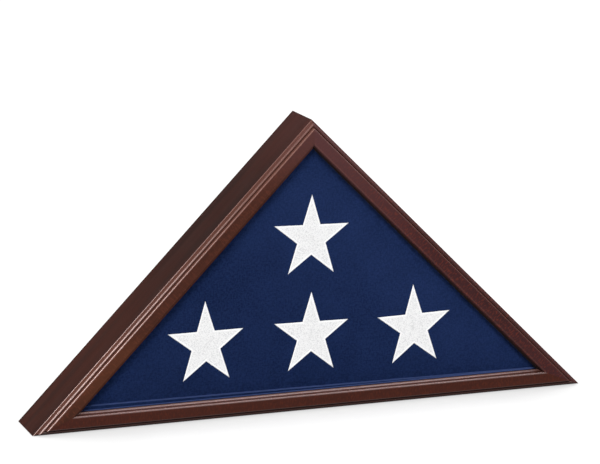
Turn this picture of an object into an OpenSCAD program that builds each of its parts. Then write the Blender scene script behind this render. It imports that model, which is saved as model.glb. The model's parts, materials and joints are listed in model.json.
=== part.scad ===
// Folded flag display case: a triangular hardwood frame of three mitred moulded rails, glazed in front,
// with a hinged door at the back. It stands on its base or hangs from its apex.
// Millimetres. X runs along the base, Y from front to back, Z up. The origin is the middle of the footprint.
// Depths are measured back from the front face, insets from a rail's outer side towards the middle.

/* [Case] */
// Overall width along the base
case_w = 648; // [560:1:760]
// Overall height to the apex
case_h = 329; // [290:1:380]
// Depth of the rails from front face to rear rim
case_d = 75; // [66:1:100]

/* [Moulding] */
// Inset of the front face's outer arris
face_inset = 6; // [5.4:0.1:8]
// Width of the flat front face
face_w = 13.3; // [11:0.1:20]
// Depth at which the flat side face begins
side_depth = 8.4; // [7.4:0.1:10]
// Radius of the cove beside the side face
cove_r = 1.7; // [1.2:0.1:2]
// Radius of the bead
bead_r = 1.3; // [0.9:0.1:1.4]
// Depth of the bead's centre
bead_depth = 4.4; // [3.8:0.1:5]
// Depth of the quirk between the bead and the face
quirk_depth = 5.6; // [5:0.1:6.4]
// Radius of the small rounded arrises
arris_r = 0.6; // [0.3:0.05:0.7]
// Width of the coved sight edge
lip_w = 3; // [2:0.1:4]
// Thickness of the lip in front of the glass
lip_d = 7.5; // [6:0.1:9]
// Depth at which the sight edge's cove starts
lip_step = 1.2; // [0.8:0.1:1.8]
// Inset of the cove from the arris in front of it
lip_shelf = 0.3; // [0.1:0.1:0.6]
// Thickness of wood left at the sight line
lip_edge = 1.5; // [1.2:0.1:2.5]
// Thickness of the rail's wall behind the lip
wall_t = 16.5; // [15:0.1:18]
// Width of the rear rim, outside the door's rabbet
rim_w = 10; // [9.5:0.1:11]

/* [Glass] */
// Thickness of the glass
glass_t = 2.5; // [2:0.1:4]
// Gap round the edge of the glass
glass_gap = 1; // [0.5:0.1:2]
// Depth of the strips that hold the glass
stop_d = 3.8; // [3:0.1:6]
// How far the strips stay behind the sight line, so that they don't show
stop_set = 1.5; // [1:0.1:2.5]
// Diameter of the pins through the strips
brad_d = 1.2; // [1:0.1:1.4]
// Length of the pins
brad_l = 13; // [11:0.5:15]
// How far their heads are punched below the wood
brad_sink = 0.3; // [0.1:0.1:0.6]

/* [Flag] */
// Slack between the folded flag and the catch blocks behind it
flag_slack = 0.8; // [0.5:0.1:8]
// Gap between the flag and what is round it
flag_gap = 0.4; // [0.3:0.1:1.5]
// Height of the rolled hem along the foot of its front
hem_w = 3.6; // [2:0.1:6]
// Softness of the flag's edges
flag_edge = 5; // [3:0.5:8]
// How far the flag's three corners are cut back
flag_corner = 12; // [6:0.5:20]
// Radius of a star's top tip
star_r = 49.3; // [35:0.1:52]
// Width of a star as a share of a regular one
star_squeeze = 0.93; // [0.88:0.01:1]
// Thickness of a star's embroidery
star_t = 0.8; // [0.5:0.1:1.2]
// Height of the row of three stars
star_row_z = 84; // [70:0.2:95]
// Sideways place of that row's middle star
star_row_x = -1.2; // [-6:0.2:6]
// Distance between the stars of the row
star_pitch = 123; // [108:0.2:128]
// How far the row's middle star is sewn above it, and its right star below
star_slip = 0.7; // [0:0.1:2]
// Distance of the top star below the apex
star_top_drop = 134; // [125:0.2:145]
// How many degrees the top star is turned from upright
star_top_turn = -1.4; // [-3:0.1:3]
// How many degrees the row's middle star is turned
star_centre_turn = -0.9; // [-3:0.1:3]
// How many degrees the row's right star is turned
star_right_turn = 0.9; // [-3:0.1:3]

/* [Back] */
// Thickness of the door and the gusset
back_t = 6; // [5:0.1:8]
// Gap round the door
door_gap = 0.5; // [0.4:0.1:1.2]
// Gap between the door and what stops it
seat_gap = 0.3; // [0.2:0.05:0.6]
// Distance of the door's top edge below the apex
door_drop = 97; // [90:1:114]
// How far the door's lower corners are cut back
door_corner = 12; // [12:0.5:20]
// Bevel of the door's sloping edges, which lets it swing past the rims
door_bevel = 1.8; // [1.7:0.1:2.5]
// Radius of the finger notch in the door's top edge
notch_r = 13; // [10:0.5:16]
// Thickness of the catch blocks
block_t = 10; // [8:0.5:12]
// Reach of a catch block below and above the door's top edge
block_reach = 13; // [12:0.5:15]
// Distance of a catch block from the middle
block_x = 24; // [20:1:30]
// Diameter of the magnets
magnet_d = 10; // [8:0.5:10]
// Thickness of the magnets
magnet_t = 4; // [3:0.5:5]
// Distance of the magnets from the middle
magnet_x = 50; // [40:1:56]
// Thickness of the steel discs in the door
strike_t = 1; // [0.8:0.1:1.6]

/* [Hinges] */
// Length of a hinge
hinge_l = 30; // [24:1:40]
// Distance of the hinges from the lower corners
hinge_corner = 144; // [100:1:200]
// Radius of the barrel
barrel_r = 2; // [1.8:0.05:2.1]
// Radius of the pin
pin_r = 0.9; // [0.7:0.05:1]
// Thickness of a leaf
leaf_t = 1; // [0.8:0.1:1.2]
// Width of a leaf beside the barrel
leaf_w = 6.8; // [6:0.1:7]
// Number of knuckles in a barrel
knuckles = 5; // [3:2:7]
// Radius of the hinge screws' heads
screw_head_r = 2.1; // [1.8:0.1:2.4]
// Radius of the hinge screws' shanks
screw_r = 1; // [0.8:0.05:1.2]
// Length of the screws in the base rail
frame_screw_l = 10; // [8:0.5:14]
// Length of the screws in the door
door_screw_l = 5.5; // [4.5:0.1:5.8]

/* [Wall hardware] */
// Length of the sawtooth hanger
hanger_l = 45; // [38:1:60]
// Height of the hanger's strip
hanger_h = 9; // [8:0.5:12]
// Thickness of its steel
hanger_t = 0.8; // [0.6:0.1:1]
// Distance of the hanger's middle below the apex
hanger_drop = 67; // [57:1:73]
// How far its toothed middle stands off the gusset
hanger_rise = 1.6; // [1.2:0.1:2.5]
// Number of teeth
hanger_teeth = 9; // [5:1:11]
// Diameter of the wall bumpers
bumper_d = 9; // [7:0.5:9.4]
// Thickness of the wall bumpers
bumper_t = 4.6; // [4.5:0.1:6]
// Distance of the bumpers from the lower corners
bumper_corner = 41; // [38:1:60]

/* [Hidden] */
$fn = 48;

// Working clearances
glue_gap = 0.05;     // round a piece that is glued or driven into its hole
run_gap = 0.06;      // between a hinge pin and its knuckles
knuckle_gap = 0.2;   // between neighbouring knuckles
pane_gap = 0.1;      // in front of and behind the glass
lap = 0.2;           // how far joined shapes run into each other
arc_n = 6;           // chords in a rounded arris or cove
curve_n = 12;        // chords in the bead and the sight edge
small_n = 24;        // chords round a pin, nail or screw
screw_sink = 0.7;    // depth of a screw head's cone
screw_row = 0.52;    // place of a leaf's screws across it
screw_share = 0.28;  // place of a leaf's screws along it, from its middle
magnet_wall = 1.5;   // wood between a magnet's disc and the door's top edge
nail_r = 0.7;        // shank of a hanger nail
nail_l = 4.5;        // its length
nail_head_r = 1.7;   // its head's radius
nail_head_t = 0.6;   // its head's thickness
nail_inset = 3.5;    // its distance from the end of the hanger

// The triangle
base_angle = atan(case_h / (case_w / 2));
leg_l = sqrt(pow(case_w / 2, 2) + pow(case_h, 2));
in_r = case_w * case_h / (case_w + 2 * leg_l);
front_y = -(case_d + bumper_t) / 2;
BASE = 0;
RIGHT = 1;
LEFT = 2;
side_start = [[-case_w / 2, 0], [case_w / 2, 0], [0, case_h]];
side_turn = [0, 180 - base_angle, 180 + base_angle];
side_l = [case_w, leg_l, leg_l];
side_touch = [case_w / 2, case_w / 2, leg_l - case_w / 2];

// Places that follow from the triangle
door_top = case_h - door_drop;
hanger_z = case_h - hanger_drop;
star_top_z = case_h - star_top_drop;
hinge_x = case_w / 2 - hinge_corner;
bumper_x = case_w / 2 - bumper_corner;

// Depths and insets that follow from the sizes above
lip_start = face_inset + face_w;
sight = lip_start + lip_w;
glass_front = lip_d + pane_gap;
stop_front = glass_front + glass_t + pane_gap;
stop_back = stop_front + stop_d;
stop_line = sight - stop_set;
flag_front = stop_back + flag_gap;
hem_front = stop_front - pane_gap + flag_gap;
hem_foot = stop_line + flag_gap;
rabbet_front = case_d - back_t - seat_gap;
door_front = case_d - back_t;
block_front = rabbet_front - block_t;
flag_back = block_front - flag_slack;
gusset_bottom = door_top + door_gap;
door_inset = rim_w + door_gap;
axis_z = rim_w + door_gap / 2;
axis_depth = case_d + barrel_r + seat_gap;
bore_r = pin_r + run_gap;
leaf_start = barrel_r + seat_gap;
screw_z = leaf_start + leaf_w * screw_row;
magnet_z = door_top - magnet_d / 2 - magnet_wall;
hanger_depth = case_d - seat_gap;

// Points along an arc round c, from angle a0 to a1 in n chords
function arc(c, r, a0, a1, n) = oval(c, r, r, a0, a1, n);

// The same on an ellipse with radii rx and ry
function oval(c, rx, ry, a0, a1, n) =
    [for (i = [0:n]) c + [rx * cos(a0 + (a1 - a0) * i / n), ry * sin(a0 + (a1 - a0) * i / n)]];

// Half the width inside the legs at height z, for an inset
function half_w(inset, z) = case_w / 2 - (inset + z * cos(base_angle)) / sin(base_angle);

// The case's triangle pulled in by an inset, its three corners cut back by c along each side
function triangle(inset, c) = let (
        x = half_w(inset, inset),
        top = case_h - inset / cos(base_angle),
        dx = c * cos(base_angle),
        dz = c * sin(base_angle))
    [[-x + c, inset], [x - c, inset], [x - dx, inset + dz],
        [dx, top - dz], [-dx, top - dz], [-x + dx, inset + dz]];

// The five-pointed star with its top tip at radius r, squeezed sideways
function star(r) = let (inner = r * sin(18) / sin(54))
    [for (i = [0:9]) (i % 2 == 0 ? r : inner) * [star_squeeze * cos(90 + 36 * i), sin(90 + 36 * i)]];

// The moulding's section as [depth, inset]: side, cove, bead, quirk, face, sight edge and the two rabbets
moulding = concat(
    [[case_d, 0]],
    arc([side_depth + arris_r, arris_r], arris_r, -90, -180, arc_n),
    arc([side_depth - cove_r, arris_r], cove_r, 0, 90, arc_n),
    arc([bead_depth, arris_r + cove_r + bead_r], bead_r, -90, -270, curve_n),
    [[quirk_depth, (arris_r + cove_r + 2 * bead_r + face_inset) / 2]],
    arc([arris_r, face_inset + arris_r], arris_r, -90, -180, arc_n),
    arc([arris_r, lip_start - arris_r], arris_r, 180, 90, arc_n),
    oval([lip_step, sight], lip_d - lip_edge - lip_step, lip_w - lip_shelf, -90, 0, curve_n),
    [[lip_d, sight]],
    [[lip_d, wall_t], [rabbet_front, wall_t], [rabbet_front, rim_w], [case_d, rim_w]]);

// Puts a child made beside the base on side i: X along the side, Y back, Z towards the middle
module on_side(i)
    translate([side_start[i][0], front_y, side_start[i][1]])
        rotate([0, -side_turn[i], 0])
            children();

// Extrudes a flat shape drawn in X and Z between two depths
module slab(near, far)
    translate([0, front_y + far, 0])
        rotate([90, 0, 0])
            linear_extrude(height = far - near)
                children();

// The wedge between a side's two mitres, with room to spare outside the rail
module mitre_wedge(i) {
    middle = [side_touch[i], in_r];
    reach = 1.2;
    translate([0, case_d + 5, 0])
        rotate([90, 0, 0])
            linear_extrude(height = case_d + 10)
                polygon([middle, middle + reach * ([0, 0] - middle),
                    middle + reach * ([side_l[i], 0] - middle)]);
}

// A strip of the given section along side i, mitred at both ends
module mitred_strip(i, section) {
    spare = 20;
    on_side(i)
        intersection() {
            translate([-spare, 0, 0])
                rotate([90, 0, 90])
                    linear_extrude(height = side_l[i] + 2 * spare)
                        polygon(section);
            mitre_wedge(i);
        }
}

// ---- Frame ----

module rail(i) color("#48291f") mitred_strip(i, moulding);

// Holes for the hinge screws in the base rail's rear rim
module base_rail() color("#48291f")
    difference() {
        mitred_strip(BASE, moulding);
        for (x = [-hinge_x, hinge_x])
            at_leaf_screws(x, -screw_z) pilot(frame_screw_l);
    }

// One V-nail, its fold on the mitre, driven forwards from the rear rim until its end just shows
module v_nail() {
    leg = 2.6;
    fold = 0.7;
    length = 10;
    proud = 0.05;
    translate([0, case_d + proud, 0])
        rotate([90, 0, 0])
            linear_extrude(height = length)
                polygon([[-leg, leg], [0, 0], [leg, leg], [leg, leg - fold], [0, -fold], [-leg, leg - fold]]);
}

// Two V-nails at each corner, one behind the other along the mitre
module corner_v_nails() {
    half = [base_angle / 2, base_angle / 2, 90 - base_angle];
    lean = [90 - base_angle / 2, base_angle / 2 - 90, 180];
    color("silver")
        for (i = [0:2])
            for (share = [0.4, 0.75]) {
                along = rim_w * share / sin(half[i]);
                place = side_start[i] + along * [sin(lean[i]), cos(lean[i])];
                translate([place[0], front_y, place[1]])
                    rotate([0, lean[i], 0])
                        v_nail();
            }
}

// ---- Glazing ----

module glass_pane() color("#a8c4c8", 0.3)
    slab(glass_front, glass_front + glass_t)
        polygon(triangle(wall_t + glass_gap, 4));

// A strip behind the glass, its inner rear arris taken off
module glass_stop(i) {
    chamfer = 1.2;
    color("#3d241c")
        mitred_strip(i, [[stop_front, wall_t], [stop_front, stop_line], [stop_back - chamfer, stop_line],
            [stop_back, stop_line - chamfer], [stop_back, wall_t]]);
}

// Pins through the strips into the rails, three to a side
module stop_brads() color("silver")
    for (i = [BASE, RIGHT, LEFT])
        on_side(i)
            for (share = [0.25, 0.5, 0.75])
                translate([side_l[i] * share, (stop_front + stop_back) / 2, stop_line - brad_sink - brad_l])
                    cylinder(h = brad_l, d = brad_d, $fn = small_n);

// ---- Flag ----

// A thin triangular layer of the flag's outline, its edge drawn in
module flag_layer(near, far, drawn_in)
    slab(near, far)
        polygon(triangle(wall_t + flag_gap + drawn_in, flag_corner));

// The rolled hem, which stands forward between the strips to just behind the glass
module flag_hem() {
    top = hem_foot + hem_w;
    slab(hem_front, flag_front + flag_edge / 2)
        polygon([for (p = [[-1, hem_foot], [1, hem_foot], [1, top], [-1, top]])
            [p[0] * half_w(hem_foot, p[1]), p[1]]]);
}

// The folded flag, a triangular pad with soft edges
module folded_flag() {
    skin = 0.2;
    soft = 0.3 * flag_edge;
    color("#1d2a4d") {
        flag_hem();
        hull() {
            flag_layer(flag_front, flag_front + skin, flag_edge);
            flag_layer(flag_front + soft, flag_front + soft + skin, soft);
            flag_layer(flag_front + flag_edge, flag_back - flag_edge, 0);
            flag_layer(flag_back - soft - skin, flag_back - soft, soft);
            flag_layer(flag_back - skin, flag_back, flag_edge);
        }
    }
}

// One embroidered star on the flag's front, turned by a few degrees as it was sewn
module flag_star(x, z, turn = 0) color("white")
    slab(flag_front - star_t, flag_front)
        translate([x, z])
            rotate(turn)
                polygon(star(star_r));

// ---- Back ----

// The fixed top of the back, seated on the rails' ledges
module apex_gusset() {
    bottom = half_w(door_inset, gusset_bottom);
    tip = case_h - door_inset / cos(base_angle);
    color("#2b2320")
        difference() {
            slab(rabbet_front, rabbet_front + back_t)
                polygon([[-bottom, gusset_bottom], [bottom, gusset_bottom], [2, tip - 2], [-2, tip - 2]]);
            at_hanger_nails() pilot(nail_l, nail_r);
        }
}

// Pins that hold the gusset to the ledges, two along each of its sloping sides
module gusset_brads() {
    slope_l = door_drop / sin(base_angle);
    color("silver")
        for (i = [RIGHT, LEFT])
            on_side(i)
                for (share = [0.27, 0.68])
                    translate([i == LEFT ? slope_l * share : leg_l - slope_l * share,
                            rabbet_front + back_t - brad_sink, (door_inset + wall_t) / 2])
                        rotate([90, 0, 0])
                            cylinder(h = brad_l, d = brad_d, $fn = small_n);
}

// A block behind the seam of door and gusset, with a pocket for its magnet; side is -1 for left, 1 for right
module catch_block(side) {
    low = door_top - block_reach;
    high = gusset_bottom + block_reach;
    wall = wall_t + seat_gap;
    color("#8a6a45")
        difference() {
            slab(block_front, rabbet_front)
                polygon([[side * block_x, low], [side * half_w(wall, low), low],
                    [side * half_w(wall, high), high], [side * block_x, high]]);
            at_catch(side) disc(rabbet_front - magnet_t, rabbet_front + 1, magnet_d / 2 + glue_gap);
        }
}

module at_catch(side)
    translate([side * magnet_x, front_y, magnet_z])
        children();

// A disc about the Y axis between two depths
module disc(near, far, r)
    translate([0, far, 0])
        rotate([90, 0, 0])
            cylinder(h = far - near, r = r);

module catch_magnets() color("lightgray")
    for (side = [-1, 1])
        at_catch(side) disc(rabbet_front - magnet_t, rabbet_front, magnet_d / 2);

// The strips cut off the door's sloping edges, wide at its inner face and nothing at its outer one
module edge_bevels() {
    beyond = 1;
    slope = door_bevel / back_t;
    for (i = [RIGHT, LEFT])
        on_side(i)
            rotate([90, 0, 90])
                linear_extrude(height = leg_l)
                    polygon([[door_front - beyond, door_inset + door_bevel + slope * beyond],
                        [case_d + beyond, door_inset - slope * beyond],
                        [case_d + beyond, 0], [door_front - beyond, 0]]);
}

// The door: lower corners cut back, finger notch in the top edge, pockets for the discs, holes for the screws
module back_door() {
    foot = half_w(door_inset, door_inset);
    shoulder_z = door_inset + door_corner;
    shoulder = half_w(door_inset, shoulder_z);
    head = half_w(door_inset, door_top);
    color("#2b2320")
        difference() {
            slab(door_front, case_d)
                polygon([[-foot + door_corner, door_inset], [foot - door_corner, door_inset],
                    [shoulder, shoulder_z], [head, door_top], [-head, door_top], [-shoulder, shoulder_z]]);
            edge_bevels();
            translate([0, front_y, door_top]) disc(door_front - 1, case_d + 1, notch_r);
            for (side = [-1, 1])
                at_catch(side) disc(door_front - 1, door_front + strike_t, magnet_d / 2 + glue_gap);
            for (x = [-hinge_x, hinge_x])
                at_leaf_screws(x, screw_z) pilot(door_screw_l);
        }
}

module strike_discs() color("gray")
    for (side = [-1, 1])
        at_catch(side) disc(door_front, door_front + strike_t, magnet_d / 2);

// ---- Hinges ----

// The two screw places of a leaf; up is the height above the hinge axis
module at_leaf_screws(x, up)
    for (share = [-screw_share, screw_share])
        translate([x + hinge_l * share, front_y + case_d, axis_z + up])
            children();

// A hole for a screw or nail, going forwards from the rear face
module pilot(length, r = screw_r)
    translate([0, 1, 0])
        rotate([90, 0, 0])
            cylinder(h = length + 1.2, r = r + glue_gap, $fn = small_n);

// A leaf with its knuckles: first is the knuckle it starts at; up is 1 for the door's leaf, else -1
module hinge_leaf(x, first, up) {
    pitch = hinge_l / knuckles;
    plate_z = up > 0 ? leaf_start : -leaf_start - leaf_w;
    tab_z = up > 0 ? 0 : -leaf_start - lap;
    color("#b08d3f")
        difference() {
            translate([x, front_y, axis_z])
                difference() {
                    union() {
                        translate([-hinge_l / 2, case_d, plate_z])
                            cube([hinge_l, leaf_t, leaf_w]);
                        for (k = [first:2:knuckles - 1])
                            translate([-hinge_l / 2 + pitch * k + knuckle_gap / 2, 0, 0]) {
                                translate([0, axis_depth, 0])
                                    rotate([0, 90, 0])
                                        cylinder(h = pitch - knuckle_gap, r = barrel_r, $fn = 32);
                                translate([0, case_d, tab_z])
                                    cube([pitch - knuckle_gap, leaf_t, leaf_start + lap]);
                            }
                    }
                    translate([-hinge_l, axis_depth, 0])
                        rotate([0, 90, 0])
                            cylinder(h = 2 * hinge_l, r = bore_r, $fn = 32);
                }
            at_leaf_screws(x, up * screw_z)
                rotate([-90, 0, 0]) {
                    translate([0, 0, -1])
                        cylinder(h = leaf_t + 2, r = screw_r + glue_gap, $fn = small_n);
                    translate([0, 0, leaf_t - screw_sink])
                        cylinder(h = screw_sink, r1 = screw_r + glue_gap, r2 = screw_head_r + glue_gap,
                            $fn = small_n);
                }
        }
}

// A countersunk screw: cone head flush with the leaf, shank forwards into the wood
module hinge_screw(length)
    rotate([90, 0, 0])
        difference() {
            union() {
                translate([0, 0, -leaf_t + screw_sink])
                    cylinder(h = length + leaf_t - screw_sink, r = screw_r, $fn = small_n);
                translate([0, 0, -leaf_t])
                    cylinder(h = screw_sink, r1 = screw_head_r, r2 = screw_r, $fn = small_n);
            }
            for (turn = [0, 90])
                rotate([0, 0, turn])
                    translate([-1.2, -0.2, -leaf_t - 1])
                        cube([2.4, 0.4, 1.4]);
        }

module frame_hinge_screws() color("#b08d3f")
    for (x = [-hinge_x, hinge_x])
        at_leaf_screws(x, -screw_z) hinge_screw(frame_screw_l);

module door_hinge_screws() color("#b08d3f")
    for (x = [-hinge_x, hinge_x])
        at_leaf_screws(x, screw_z) hinge_screw(door_screw_l);

// The pin, with a button head at each end of the barrel
module hinge_pin(x) {
    head_l = 0.6;
    color("#c8a85a")
        translate([x - hinge_l / 2 - head_l, front_y + axis_depth, axis_z])
            rotate([0, 90, 0]) {
                cylinder(h = hinge_l + 2 * head_l, r = pin_r, $fn = 32);
                cylinder(h = head_l, r1 = barrel_r * 0.6, r2 = barrel_r * 0.85, $fn = 32);
                translate([0, 0, hinge_l + head_l])
                    cylinder(h = head_l, r1 = barrel_r * 0.85, r2 = barrel_r * 0.6, $fn = 32);
            }
}

// ---- Wall hardware ----

module at_hanger_nails()
    for (side = [-1, 1])
        translate([side * (hanger_l / 2 - nail_inset), front_y + hanger_depth, hanger_z])
            children();

// Pressed strip: two flat ends on the gusset, a raised middle with teeth along its lower edge
module sawtooth_hanger() {
    flat = 7;
    ramp = 3;
    raised = hanger_l / 2 - flat - ramp;
    pitch = 2 * raised / hanger_teeth;
    tooth = 1.8;
    half = hanger_h / 2;
    color("gray")
        translate([0, front_y + hanger_depth, hanger_z]) {
            // raised middle, its lower edge toothed
            translate([0, hanger_rise + hanger_t, 0])
                rotate([90, 0, 0])
                    linear_extrude(height = hanger_t)
                        polygon(concat([[raised, half], [-raised, half], [-raised, -half]],
                            [for (i = [0:hanger_teeth - 1]) each [
                                [-raised + pitch * (i + 0.5), -half + tooth],
                                [-raised + pitch * (i + 1), -half]]]));
            // ramps and ends on both sides
            difference() {
                for (side = [-1, 1])
                    translate([0, 0, -half])
                        linear_extrude(height = hanger_h)
                            polygon([[side * raised, hanger_rise], [side * raised, hanger_rise + hanger_t],
                                [side * (raised + ramp), hanger_t], [side * (raised + ramp + flat), hanger_t],
                                [side * (raised + ramp + flat), 0], [side * (raised + ramp), 0]]);
                for (side = [-1, 1])
                    translate([side * (hanger_l / 2 - nail_inset), 2, 0])
                        rotate([90, 0, 0])
                            cylinder(h = 4, r = nail_r + glue_gap, $fn = small_n);
            }
        }
}

module hanger_nails() color("#c8a85a")
    at_hanger_nails()
        rotate([90, 0, 0]) {
            translate([0, 0, -hanger_t - nail_head_t])
                cylinder(h = nail_head_t, r1 = nail_head_r * 0.7, r2 = nail_head_r, $fn = small_n);
            translate([0, 0, -hanger_t - 0.1])
                cylinder(h = nail_l, r = nail_r, $fn = small_n);
        }

module wall_bumpers() color("#303030")
    for (side = [-1, 1])
        translate([side * bumper_x, front_y, rim_w / 2])
            disc(case_d, case_d + bumper_t, bumper_d / 2);

rail(LEFT);  // left_rail
rail(RIGHT);  // right_rail
base_rail();
corner_v_nails();
glass_pane();
glass_stop(LEFT);  // left_glass_stop
glass_stop(RIGHT);  // right_glass_stop
glass_stop(BASE);  // base_glass_stop
stop_brads();
folded_flag();
flag_star(0, star_top_z, star_top_turn);  // star_top
flag_star(star_row_x - star_pitch, star_row_z);  // star_left
flag_star(star_row_x, star_row_z + star_slip, star_centre_turn);  // star_centre
flag_star(star_row_x + star_pitch, star_row_z - star_slip, star_right_turn);  // star_right
apex_gusset();
gusset_brads();
catch_block(-1);  // left_catch_block
catch_block(1);  // right_catch_block
catch_magnets();
back_door();
strike_discs();
hinge_leaf(-hinge_x, 0, -1);  // left_hinge_frame_leaf
hinge_leaf(hinge_x, 0, -1);  // right_hinge_frame_leaf
hinge_leaf(-hinge_x, 1, 1);  // left_hinge_door_leaf
hinge_leaf(hinge_x, 1, 1);  // right_hinge_door_leaf
hinge_pin(-hinge_x);  // left_hinge_pin
hinge_pin(hinge_x);  // right_hinge_pin
frame_hinge_screws();
door_hinge_screws();
sawtooth_hanger();
hanger_nails();
wall_bumpers();
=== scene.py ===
"""Folded flag display case: its looks, built round the fixed frame of the case.

Sizes in the classes are millimetres and colours are 0 to 255 as seen on a screen. Pieces are made in
metres: X runs along the base, Y from front to back, Z up. Depths are measured back from the front face,
insets from the outer side of a rail towards the middle of the triangle.
"""

from __future__ import annotations

import json
import logging
import math
from dataclasses import dataclass, field
from enum import Enum

import bmesh
import bpy
import numpy as np
from mathutils import Matrix, Vector

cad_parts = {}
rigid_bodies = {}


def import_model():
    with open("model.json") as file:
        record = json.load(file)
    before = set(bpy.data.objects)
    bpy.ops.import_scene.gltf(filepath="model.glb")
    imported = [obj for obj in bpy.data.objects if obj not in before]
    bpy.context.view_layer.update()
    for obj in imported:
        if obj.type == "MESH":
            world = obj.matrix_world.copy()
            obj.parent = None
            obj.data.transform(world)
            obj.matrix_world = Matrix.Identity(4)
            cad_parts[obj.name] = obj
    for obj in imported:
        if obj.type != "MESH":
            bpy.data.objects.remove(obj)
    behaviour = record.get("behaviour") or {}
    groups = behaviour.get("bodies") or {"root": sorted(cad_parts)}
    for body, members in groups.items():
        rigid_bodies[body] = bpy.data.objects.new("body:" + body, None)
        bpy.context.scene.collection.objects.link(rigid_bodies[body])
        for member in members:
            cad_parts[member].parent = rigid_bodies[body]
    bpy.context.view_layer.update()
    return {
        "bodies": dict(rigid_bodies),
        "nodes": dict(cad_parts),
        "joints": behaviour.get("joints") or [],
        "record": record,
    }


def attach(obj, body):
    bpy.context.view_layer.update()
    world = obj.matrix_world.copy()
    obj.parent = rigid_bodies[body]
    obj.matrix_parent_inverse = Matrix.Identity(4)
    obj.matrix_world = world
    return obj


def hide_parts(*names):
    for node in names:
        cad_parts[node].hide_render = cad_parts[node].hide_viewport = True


MM = 0.001
CASE_BODY = "case"
PICTURE_WIDTH = 600
Span = tuple[float, float]
Triple = tuple[float, float, float]
Range = tuple[float, float, float, float]
Tone = tuple[float, float, float]
Socket = bpy.types.NodeSocket
log = logging.getLogger("flag_case")


class Side(Enum):
    """The three sides of the case, in the order in which they run round it."""

    BASE = "base"
    RIGHT = "right"
    LEFT = "left"


class Grain(Enum):
    """Where a wood's pattern takes its direction from."""

    RAIL = "grain attribute, X along the rail"
    ACROSS = "object coordinates, grain along X"
    LEFT_LEG = "object coordinates, grain along the left leg"
    RIGHT_LEG = "object coordinates, grain along the right leg"


class Member(Enum):
    """The members of the moulding, in order from the rear outer arris round to the rear inner one."""

    REAR_ARRIS = "rear outer arris"
    FLANK = "side face"
    SIDE_ARRIS = "arris of the side face"
    COVE = "cove"
    BEAD = "bead"
    BEAD_FOOT = "foot of the bead in the quirk"
    QUIRK = "quirk"
    FACE_ARRIS = "outer arris of the face"
    FACE = "front face"
    SIGHT_ARRIS = "inner arris of the face"
    SIGHT_COVE = "coved sight edge"
    THROAT = "throat of the coved edge"
    SHELF = "shelf at the sight line"
    REBATE = "rebate"
    INNER_ARRIS = "rear inner arris"


# ------------------------------------------------------------------------------------ shared geometry


@dataclass(frozen=True)
class CaseTriangle:
    """The triangle that every part of the case follows."""

    width: float = 648.0
    height: float = 329.0
    depth: float = 75.0
    front: float = -39.8

    @property
    def base_angle(self) -> float:
        """Angle between the base and a leg, in radians."""
        return math.atan(self.height / (self.width / 2))

    @property
    def leg(self) -> float:
        """Length of a sloping leg."""
        return math.hypot(self.width / 2, self.height)

    @property
    def inradius(self) -> float:
        """Distance of the incentre from each of the three sides."""
        return self.width * self.height / (self.width + 2 * self.leg)

    def side(self, side: Side) -> tuple[np.ndarray, np.ndarray, np.ndarray, float]:
        """Start, direction, inward direction and length of a side, in X and Z.

        Args:
            side: which side.

        Returns:
            The start point, the unit vector along the side, the unit vector inwards, and the side's length.
        """
        start, turn, length = {
            Side.BASE: ((-self.width / 2, 0.0), 0.0, self.width),
            Side.RIGHT: ((self.width / 2, 0.0), math.pi - self.base_angle, self.leg),
            Side.LEFT: ((0.0, self.height), math.pi + self.base_angle, self.leg),
        }[side]
        along = np.array([math.cos(turn), math.sin(turn)])
        inward = np.array([-math.sin(turn), math.cos(turn)])
        return np.array(start), along, inward, length

    def mitres(self, side: Side) -> Span:
        """Cotangent of half the corner angle at the side's start and at its end."""
        foot = 1 / math.tan(self.base_angle / 2)
        top = 1 / math.tan(math.pi / 2 - self.base_angle)
        return {Side.BASE: (foot, foot), Side.RIGHT: (foot, top), Side.LEFT: (top, foot)}[side]

    def place(self, side: Side, along: np.ndarray, depth: np.ndarray, inset: np.ndarray) -> np.ndarray:
        """Points beside a side: start + along times its direction + inset times its inward direction.

        Args:
            side: which side.
            along, depth, inset: arrays of one shape, in millimetres.

        Returns:
            An array of points in metres, with a last axis of three.
        """
        start, run, inward, _ = self.side(side)
        x = start[0] + along * run[0] + inset * inward[0]
        z = start[1] + along * run[1] + inset * inward[1]
        return np.stack([x, self.front + depth, z], axis=-1) * MM

    def insets(self, x: np.ndarray, z: np.ndarray) -> dict[Side, np.ndarray]:
        """Distance of points from each side: the offset from its start, dot its inward direction.

        Args:
            x, z: arrays of one shape, in millimetres.

        Returns:
            One array of insets for each side.
        """
        found = {}
        for side in Side:
            start, _, inward, _ = self.side(side)
            found[side] = (x - start[0]) * inward[0] + (z - start[1]) * inward[1]
        return found


@dataclass
class Shell:
    """A closed surface, ready to become a piece."""

    points: np.ndarray
    faces: list[list[int]]
    layers: dict[str, np.ndarray] = field(default_factory=dict)
    sharp_angle: float = 38.0


def tone(colour: Tone) -> tuple[float, float, float, float]:
    """Turns a screen colour into linear light: ((c + 0.055) / 1.055)^2.4, or c / 12.92 when dark.

    Args:
        colour: red, green and blue from 0 to 255.

    Returns:
        Linear red, green, blue and an alpha of 1.
    """
    c = np.asarray(colour, dtype=float) / 255
    linear = np.where(c <= 0.04045, c / 12.92, ((c + 0.055) / 1.055) ** 2.4)
    return (float(linear[0]), float(linear[1]), float(linear[2]), 1.0)


def arc(centre: Span, radii: Span, first: float, last: float, chords: int) -> np.ndarray:
    """Points on an ellipse: centre + (rx cos a, ry sin a) for a from first to last.

    Args:
        centre: centre of the ellipse.
        radii: its two radii.
        first, last: angles in degrees.
        chords: number of chords.

    Returns:
        An array of chords + 1 points.
    """
    a = np.radians(np.linspace(first, last, chords + 1))
    return np.stack([centre[0] + radii[0] * np.cos(a), centre[1] + radii[1] * np.sin(a)], axis=-1)


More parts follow.
